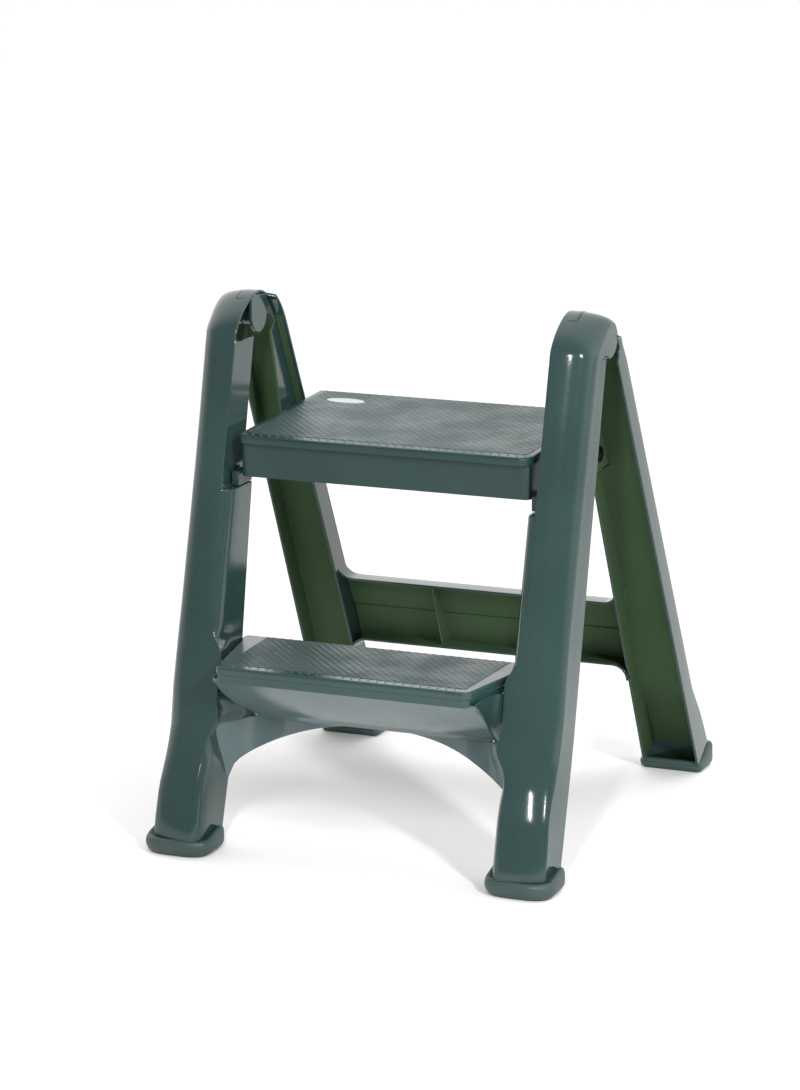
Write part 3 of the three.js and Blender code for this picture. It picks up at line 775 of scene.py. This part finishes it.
def lower_tread():
    sides = [(LOWER_CORNER, LOWER_NOSE), (LOWER_SIDE, LOWER_SHOULDER)]
    sides += [(LEG_INSET + 0.5, LOWER_SHOULDER + 7), (LEG_INSET + 0.5, LOWER_REAR)]
    outline = softened([(-x, y) for x, y in reversed(sides)] + sides, 8)
    body = Moulding()
    top = LOWER_TREAD
    tread_shell(body, outline, [
        (1.6, top - 17), (1.6, top - 8.6), (0.3, top - 8.0), (0, top - 7.2),
        (0, top - 3.0), (0.4, top - 1.6), (1.4, top - 0.4), (3.0, top),
    ])
    body.build("lower_step_tread", "front", TREAD_RIM_PLASTIC, bevel=0.5)

    pad = Moulding()
    front, back = LOWER_NOSE + 13, LOWER_REAR - 3
    knurled_pad(pad, lambda y: 134 + 6 * (y - front) / (back - front), front, back, top)
    pad.build("lower_step_knurl", "front", TREAD_PLASTIC, bevel=0)
    studs = Moulding()
    dots(studs, 124, LOWER_NOSE + 8.5, top)
    studs.build("lower_step_dots", "front", DOT_PAINTED_HIGHLIGHT_PLASTIC, bevel=0)


def lower_skirt():
    """The panel that slopes down from the nose, the filler behind it, and the arched web below."""
    body = Moulding()
    slope = []
    for i in range(15):
        y = SLOPE_START + (ARCH_Y - SLOPE_START) * i / 14
        half = slope_half(y)
        slope.append([(half * u, y, slope_height(y)) for u in SLOPE_ACROSS])
    body.sheet(slope, (0, -60, 260), wall=2.6)
    nose = (LOWER_NOSE + 22, LOWER_TREAD - 12)
    filler = [nose, (nose[0] + 4, nose[1]), (ARCH_Y + 0.2, CROWN + 3), (ARCH_Y - 3, CROWN - 1)]
    reach = slope_half(nose[0]) - 14
    body.plate(filler, "x", -reach, reach)
    web = []
    for i in range(61):
        x = WEB_HALF * (i / 30 - 1)
        out = clamp((abs(x) - 120) / (LEG_INSET - 121))
        low = (web_front(x), arch_height(x))
        high = (ARCH_Y - 48 * out**1.7, CROWN + 1.5)
        web.append([(x, *mix(low, high, share)) for share in (0, 0.2, 0.4, 0.6, 0.8, 0.95, 1)])
    body.sheet(web, (0, 20, 110), wall=3)
    # painted light: the panel, filler and web take the paler skirt colour
    body.build("lower_step_skirt", "front", SKIRT_PAINTED_LIGHT_PLASTIC)


def lower_cove(side):
    """The hollow that joins the sloping panel to the front of a leg."""
    cove = Moulding(side)
    rows = []
    for i in range(17):
        z = CROWN + (RIM + 4 - CROWN) * i / 16
        y = interpolate(COVE_FRONT, z)
        start = (slope_half(y) - 0.6, y)
        end = (LEG_INNER - pinch(z) + 3, front_face(z) + 9)
        middle = mix(start, end, 0.5)
        bend = 0.16 * math.dist(start, end)
        bent = (middle[0] - bend, middle[1] + bend)
        line = bezier(start, mix(start, bent, 0.8), mix(end, bent, 0.8), end, 8)
        rows.append([(*p, z) for p in line])
    cove.sheet(rows, (120, -60, 170), wall=2.4)
    name = f"lower_step_cove_{side_name(side)}"
    cove.build(name, "front", FRAME_PLASTIC, bevel=0.5)


# ---- rear frame ----
NECK, ROOF_EDGE, ROOF_BACK = 534, 530, 26  # z and y where the leg's straight part ends at the top
REAR_LEG_HEIGHTS = (
    536, 520, 500, 480, 450, 420, SHELF, 360, 320, 280, 240, 218, 180, 158, 130, HEEL_TOP,
)


def rear_outer(z):
    """x of the outer edge of a rear leg, which splays towards the floor."""
    return REAR_OUTER + SPLAY * (HEIGHT - z) / HEIGHT


def rear_leg_path():
    """(y, z) of the back of a rear leg, from the seam over the roof and down to the heel."""
    path = [p for p in front_roof(40) if p[0] > SEAM + SPLIT_GAP]
    path += bezier((3, HEIGHT), (20, HEIGHT), (36, 568), (50.5, 546), 16)[1:]
    path += [(rear_face(z), z) for z in REAR_LEG_HEIGHTS]
    path += bezier((rear_face(HEEL_TOP), HEEL_TOP), (287.5, 101), (298, 91), HEEL[0], 6)[1:]
    path += bezier(HEEL[0], (328, 50), (338, 34), HEEL[1], 5)[1:] + [HEEL[2]]
    return path


def rear_leg_skin(body):
    """The back, the rounded outer edge and the outer side, as one sheet."""
    path = rear_leg_path()
    rows = []
    for i, (y, z) in enumerate(path):
        inner = REAR_INNER if y > ROOF_BACK else LEG_INNER
        outer = rear_outer(z) if z < NECK else REAR_OUTER
        edge = KNUCKLE_SPLIT - SPLIT_GAP if z > OUTER_TOP else outer
        front = rear_leg_front(z)
        if z >= ROOF_EDGE:
            front = max(rear_leg_front(ROOF_EDGE), y - 14)
        before, after = path[max(i - 1, 0)], path[min(i + 1, len(path) - 1)]
        along = Vector((after[0] - before[0], after[1] - before[1])).normalized()
        down = (along.y, -along.x)
        row = [(inner, y, z), (inner + 3, y, z), (KNUCKLE_SPLIT - 4, y, z), (edge - 2.6, y, z)]
        for inset, depth in ((0.8, 0.7), (0, 2.6)):
            row.append((edge - inset, y + depth * down[0], z + depth * down[1]))
        row += [(edge, (y + front) / 2, z), (edge, front, z)]
        rows.append(row)
    first_outer = next(i for i, (y, z) in enumerate(path) if y > 30 and z <= OUTER_TOP)
    body.sheet(rows, (195, 40, 300), skip=lambda i, j: i < first_outer and j >= 5)


def rear_leg(side):
    body = Moulding(side)
    rear_leg_skin(body)
    flange = [(rear_leg_front(LEG_BOTTOM), LEG_BOTTOM), (rear_leg_front(SHELF), SHELF)]
    flange += [(rear_face(SHELF) - 1, SHELF), (rear_face(HEEL_TOP) - 1, HEEL_TOP)]
    flange += [(y - 1, z) for y, z in HEEL]
    body.plate(flange, "x", REAR_INNER, REAR_INNER + WALL)
    under = SHELF - 3.5
    shelf = [(rear_leg_front(under) + 1, under), (rear_leg_front(SHELF) + 1, SHELF)]
    shelf += [(rear_face(SHELF) - 1, SHELF), (rear_face(under) - 1, under)]
    body.plate(shelf, "x", REAR_INNER + 0.3, REAR_CHEEK + 3)
    cheek = [(77, SHELF - 3), (57, 457), (36, 528), (53, 539)]
    cheek += [(rear_face(z) - 1, z) for z in (500, 457, SHELF - 3)]
    body.plate(cheek, "x", REAR_CHEEK, REAR_CHEEK + WALL)
    tongue = [(HINGE[0] - 20, 575)] + arc(HINGE, 20, 180, 360, 24) + [(HINGE[0] + 20, 571)]
    body.plate(tongue, "x", LEG_INNER, REAR_CHEEK + WALL)
    under_roof = bezier((24, 565), (38, 560), (45, 549), (53, 533), 10)
    rim = under_roof + [(y - 2.4, z - 1.8) for y, z in reversed(under_roof)]
    body.plate(rim, "x", REAR_CHEEK, REAR_CHEEK + WALL)
    split = KNUCKLE_SPLIT - SPLIT_GAP
    body.bar(HINGE, [(REAR_CHEEK, HINGE_BOSS), (split, HINGE_BOSS), (split, HINGE_BORE)])
    boss = REAR_CHEEK + 5.3
    body.bar(PIVOT, [(REAR_CHEEK + 0.4, 11), (boss, 11), (boss, PIVOT_BORE)])

    def inside(x, y, z, normal):
        """The faces inside the channel, which are painted with the dark colour of shade. The cheek gets
        it on the outer side only.
        """
        if z > SHELF - 3 and normal.x * side < -0.4 and x < REAR_CHEEK + 1:
            return False
        within = REAR_INNER + 2.5 < x < rear_outer(z) - 2.4
        return within and normal.y < 0.3 and z < 540 and y > 30

    name = f"rear_leg_{side_name(side)}"
    return body.build(name, "rear", FRAME_PLASTIC, painted_shade_faces=inside)


CROSSBAR_TOP, CROSSBAR_RIB, CROSSBAR_BOTTOM, CROSSBAR_FILLET = 218, 178, 136, 16
RIB_X = 56


def crossbar():
    """A channel open to the front, with upright ribs and a long one, and fillets at the legs."""
    top, middle, bottom, fillet = CROSSBAR_TOP, CROSSBAR_RIB, CROSSBAR_BOTTOM, CROSSBAR_FILLET
    half = REAR_INNER + 0.5
    stations = [0, 40, RIB_X - 1, RIB_X + 1, 90, 130, half - fillet]
    stations += [half - fillet + fillet * math.sin(math.radians(a)) for a in (20, 40, 60, 75, 90)]
    stations = [-x for x in reversed(stations[1:])] + stations

    def flare(x):
        rest = clamp((abs(x) - half + fillet) / fillet)
        return fillet * (1 - math.sqrt(max(0, 1 - rest * rest)))

    rows = []
    for x in stations:
        high, low = top + flare(x), bottom - flare(x)
        rows.append([
            (x, 200 + (top - high) * REAR_FACE_SLOPE, high), (x, rear_face(high) - 2, high),
            (x, rear_face(high) - 0.3, high - 0.8), (x, rear_face(high - 3), high - 3),
            (x, rear_face(middle), middle), (x, rear_face(low + 3), low + 3),
            (x, rear_face(low) - 0.6, low + 0.8), (x, rear_face(low) - 3, low), (x, 236, low),
        ])
    body = Moulding()
    body.sheet(rows, (0, 180, middle), wall=2.6)
    rib = [(205, top - 1), (rear_face(top - 1) - 1, top - 1)]
    rib += [(rear_face(bottom) - 1, bottom + 1), (241, bottom + 1)]
    for x in (-RIB_X, RIB_X):
        body.plate(rib, "x", x - 0.8, x + 0.8)
    back = rear_face(middle) - 1
    long_rib = [(242, middle + 0.6), (back, middle + 0.6), (back, middle - 0.6), (242, middle - 0.6)]
    body.plate(long_rib, "x", -half, half)

    # painted shade: the faces inside the channel, between its flanges, get the dark olive colour
    def inside(x, y, z, normal):
        return y < rear_face(z) - 2 and bottom + 1.5 < z < top - 1.5

    return body.build("rear_crossbar", "rear", FRAME_PLASTIC, painted_shade_faces=inside)


# ---- top step ----
def on_step(p):
    """From the top step's own frame, with its front upper edge at the origin, to the seam frame."""
    turned = Matrix.Rotation(STEP_TILT, 4, "X") @ Vector(p)
    return turned + Vector((0, STEP_LIP[0], STEP_LIP[1]))


def step_body():
    """The tread's shell, the panel round its front and sides, and the ribs below."""
    half, corner, back = STEP_HALF, 9, STEP_DEPTH
    outline = [(-half, back), (-half, corner), (-half + corner, 0)]
    outline += [(half - corner, 0), (half, corner), (half, back)]
    body = Moulding()
    tread_shell(body, softened(outline, 5), [
        (2.2, -9.2), (0.4, -9.0), (0, -8.2), (0, -3.2), (0.4, -1.7), (1.5, -0.4), (3.2, 0),
    ])
    path = [(-half + 3, back - 2), (-half + 3, 150), (-half + 3, 60), (-half + 3, 14)]
    path += [(-half + 4.2, 9.7), (-half + 8.5, 7.6)]
    path += [(x, 7.5) for x in (-half + 14, -84, -28, 0)]
    path += [(-x, y) for x, y in reversed(path[:-1])]
    rows = []
    for share in (0, 0.03, 0.5, 1):
        row = []
        for x, y in path:
            low = -STEP_APRON + 24 * smooth(186, back, y)
            row.append((x, y - 0.6 * (1 - share), low + (-3 - low) * share))
        rows.append(row)
    body.sheet(rows, (0, 115, -20), wall=2.8)
    rib = [(9, -30), (9, -2), (back - 2, -2), (back - 2, -18), (190, -30)]
    for x in (-84, -28, 28, 84):
        body.plate(rib, "x", x - 1.2, x + 1.2)
    for y, low in ((110, -24), (back - 3.4, -22)):
        end = half - 4
        body.plate([(-end, low), (end, low), (end, -2), (-end, -2)], "y", y, y + 2.4)
    # painted shade: the whole body takes the darker step colour
    return body.build("top_step_body", "step", STEP_SHADE_PLASTIC, bevel=0.6, tilt=on_step)


def step_surface():
    """The diamonds, which leave the badge free, and the dots at the front edge."""
    def beside_badge(x, y):
        across = (x - BADGE["x"]) / (BADGE["width"] / 2)
        along = (y - BADGE["along"]) / (BADGE["depth"] / 2)
        return smooth(1.06, 1.16, math.hypot(across, along))

    pad = Moulding()
    half = STEP_HALF - 8
    knurled_pad(pad, lambda y: half - 4 * smooth(20, 13, y), 14, STEP_DEPTH - 4, 0, beside_badge)
    pad.build("top_step_knurl", "step", TREAD_PLASTIC, bevel=0, tilt=on_step)
    studs = Moulding()
    dots(studs, half, 8, 0)
    studs.build("top_step_dots", "step", DOT_PAINTED_HIGHLIGHT_PLASTIC, bevel=0, tilt=on_step)


def step_end(side):
    """The boss round a pivot, and the lug that rests on the ledge of the front leg."""
    body = Moulding(side)
    near, far = STEP_HALF - 15, REAR_CHEEK - 0.5
    body.bar(PIVOT, [(near, PIVOT_BORE), (near, 12), (far, 12), (far, PIVOT_BORE)])
    low = LEDGE + 0.4
    lug = [(LUG_FRONT, low), (LUG_BACK, low), (LUG_BACK, LUG_TOP), (LUG_FRONT, LUG_TOP)]
    body.plate(lug, "x", STEP_HALF - 1, LUG_END)
    body.build(f"top_step_pivot_{side_name(side)}", "step", STEP_SHADE_PLASTIC)


# (share of the oval, height) from below the tread, over the raised rim, to the middle
BADGE_PROFILE = (
    (1, -1.0), (1, 0.9), (0.975, 1.25), (0.93, 1.35), (0.9, 1.15), (0.86, 1.1), (0.5, 1.25), (0.1, 1.3),
)


def badge():
    """A blank oval."""
    body = Moulding()
    rings = []
    for share, z in BADGE_PROFILE:
        ring = []
        for a, b in arc((0, 0), 1, 0, 360, 64)[:-1]:
            x = BADGE["x"] + a * BADGE["width"] / 2 * share
            ring.append((x, BADGE["along"] + b * BADGE["depth"] / 2 * share, z))
        rings.append(ring)
    body.rings(rings)
    return body.build("badge_inlay", "step", BADGE_PLASTIC, bevel=0, tilt=on_step)


# ---- feet ----
# the front foot's sides and back, then (inset, height) pairs of lower edges and of the rim
FOOT_NEAR, FOOT_FAR, FOOT_BACK = 154, 231, -137
FRONT_FOOT_LOW = ((9, 0), (6.4, 0.7), (3.8, 2.4), (1.7, 5.0), (0.4, 8.4), (0, 11.5))
REAR_FOOT_OUTLINE = [(161, 303), (236.5, 303), (237, 351.5), (161, 351.5)]
REAR_FOOT_LOW = ((5.6, 0), (3.6, 0.6), (1.8, 2.2), (0.5, 4.8), (0, 8))
FOOT_RIM = ((0.3, -5), (0.8, -3), (1.9, -1.2), (3.4, -0.3), (4.8, 0), (6.2, -0.4))


def foot(name, body_name, side, outline, height, low):
    """A rubber cup. low: (inset, z) of its rounded lower edge; height(y): its rim above the floor."""
    body = Moulding(side)
    rings = []
    for inset, z in low:
        rings.append([(x, y, z) for x, y in inset_outline(outline, inset)])
    for inset, level in (*FOOT_RIM, (6.8, -1.2)):
        ring = []
        for (_, y), (px, py) in zip(outline, inset_outline(outline, inset)):
            ring.append((px, py, height(y) + level))
        rings.append(ring)
    body.rings(rings)
    return body.build(f"{name}_{side_name(side)}", body_name, FOOT_RUBBER, bevel=0)


def front_foot(side):
    near, far, front, back = FOOT_NEAR, FOOT_FAR, FOOTPRINT_FRONT, FOOT_BACK
    toe = [(near, front + 22), (near, front + 6), (near + 14, front + 1), (near + 26, front)]
    outline = bezier(*toe, 9)
    outline += bezier((far - 26, front), (far - 14, front + 1), (far, front + 6), (far, front + 22), 9)
    outline += arc((far - 14, back - 14), 14, 0, 90, 6) + arc((near + 14, back - 14), 14, 90, 180, 6)

    def height(y):
        return 18.5 + 7 * smooth(-184, -158, y) - 4 * smooth(-146, -136, y)

    return foot("front_foot_cup", "front", side, outline, height, FRONT_FOOT_LOW)


def rear_foot(side):
    def height(y):
        return 13 + 15 * smooth(312, 344, y)

    outline = softened(REAR_FOOT_OUTLINE, 9)
    return foot("rear_foot_cup", "rear", side, outline, height, REAR_FOOT_LOW)


# ---- the stool ----
legs = [front_leg(side) for side in (-1, 1)]
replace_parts(legs[1], "front_frame")
lower_tread()
lower_skirt()
for side in (-1, 1):
    lower_cove(side)
rear = [rear_leg(side) for side in (-1, 1)]
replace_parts(rear[1], "rear_frame")
crossbar()
top = step_body()
step_surface()
for side in (-1, 1):
    step_end(side)
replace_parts(top, "top_step")
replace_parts(badge(), "badge")
for side in (-1, 1):
    name = side_name(side)
    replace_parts(front_foot(side), f"front_foot_{name}")
    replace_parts(rear_foot(side), f"rear_foot_{name}")
    for pin in (f"hinge_pin_{name}", f"step_pin_{name}", f"step_pin_clip_{name}"):
        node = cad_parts[pin]
        node.data.materials.clear()
        node.data.materials.append(PIN_STEEL)


# ---- studio, in metres and degrees ----
FLOOR_REACH, FLOOR_COLOUR = 30, (0.93, 0.925, 0.915, 1)
ROOM, BACKDROP = 0.42, 1.6  # brightness of the room in front of the stool and of the wall behind it
ROOM_END, BACKDROP_START = -0.45, 0.3  # as the Y of a direction
LIGHTS_AIM = Vector((0, 0, 0.3))
CAMERA_ANGLES, CAMERA_DISTANCE, CAMERA_LENS = (21.87, 13.22), 3.921, 122.04
CAMERA_AIM = Vector((0, (SEAM_Y - 29) * MM, 0.320))


def away(azimuth, elevation):
    """The direction from the stool: azimuth 0 is its front, and it grows towards the right."""
    a, e = math.radians(azimuth), math.radians(elevation)
    return Vector((math.sin(a) * math.cos(e), -math.cos(a) * math.cos(e), math.sin(e)))


def place(obj, aim, back, distance):
    """Stands a light or the camera off from its aim, and turns it towards it."""
    obj.location = aim + back * distance
    obj.rotation_mode = "QUATERNION"
    obj.rotation_quaternion = (-back).to_track_quat("-Z", "Y")


def floor():
    mesh = bpy.data.meshes.new("studio_floor")
    reach = FLOOR_REACH
    corners = [(-reach, -reach, 0), (reach, -reach, 0), (reach, reach, 0), (-reach, reach, 0)]
    mesh.from_pydata(corners, [], [(0, 1, 2, 3)])
    obj = bpy.data.objects.new("studio_floor", mesh)
    bpy.context.scene.collection.objects.link(obj)
    material = bpy.data.materials.new("studio_floor")
    material.use_nodes = True
    shader = material.node_tree.nodes["Principled BSDF"]
    shader.inputs["Base Color"].default_value = FLOOR_COLOUR
    shader.inputs["Roughness"].default_value = 0.9
    shader.inputs["Specular IOR Level"].default_value = 0.1
    mesh.materials.append(material)


def area_light(name, azimuth, elevation, distance, width, height, power):
    """A soft box around the stool, facing its middle."""
    data = bpy.data.lights.new(name, "AREA")
    data.shape = "RECTANGLE"
    data.size, data.size_y = width, height
    data.energy = power
    obj = bpy.data.objects.new(name, data)
    bpy.context.scene.collection.objects.link(obj)
    place(obj, LIGHTS_AIM, away(azimuth, elevation), distance)


def camera():
    data = bpy.data.cameras.new("camera")
    data.sensor_fit = "VERTICAL"
    data.sensor_height = 36
    data.sensor_width = 36
    data.lens = CAMERA_LENS
    obj = bpy.data.objects.new("camera", data)
    bpy.context.scene.collection.objects.link(obj)
    place(obj, CAMERA_AIM, away(*CAMERA_ANGLES), CAMERA_DISTANCE)
    bpy.context.scene.camera = obj


def surroundings():
    """A dim room in front of the stool that turns into a bright backdrop behind it."""
    world = bpy.data.worlds.new("studio")
    world.use_nodes = True
    nodes, links = world.node_tree.nodes, world.node_tree.links
    nodes["Background"].inputs["Color"].default_value = (1, 1, 1, 1)
    direction = nodes.new("ShaderNodeTexCoord")
    split = nodes.new("ShaderNodeSeparateXYZ")
    links.new(direction.outputs["Generated"], split.inputs["Vector"])
    shade = nodes.new("ShaderNodeMapRange")
    shade.interpolation_type = "SMOOTHSTEP"
    shade.inputs["From Min"].default_value = ROOM_END
    shade.inputs["From Max"].default_value = BACKDROP_START
    shade.inputs["To Min"].default_value = ROOM
    shade.inputs["To Max"].default_value = BACKDROP
    links.new(split.outputs["Y"], shade.inputs["Value"])
    links.new(shade.outputs["Result"], nodes["Background"].inputs["Strength"])
    bpy.context.scene.world = world


def studio():
    bpy.context.scene.view_settings.view_transform = "Standard"
    floor()
    surroundings()
    area_light("key_left", 14, 30, distance=3.2, width=0.16, height=0.75, power=40)
    area_light("key_right", 49, 30, distance=3.2, width=0.18, height=0.75, power=52)
    camera()


studio()
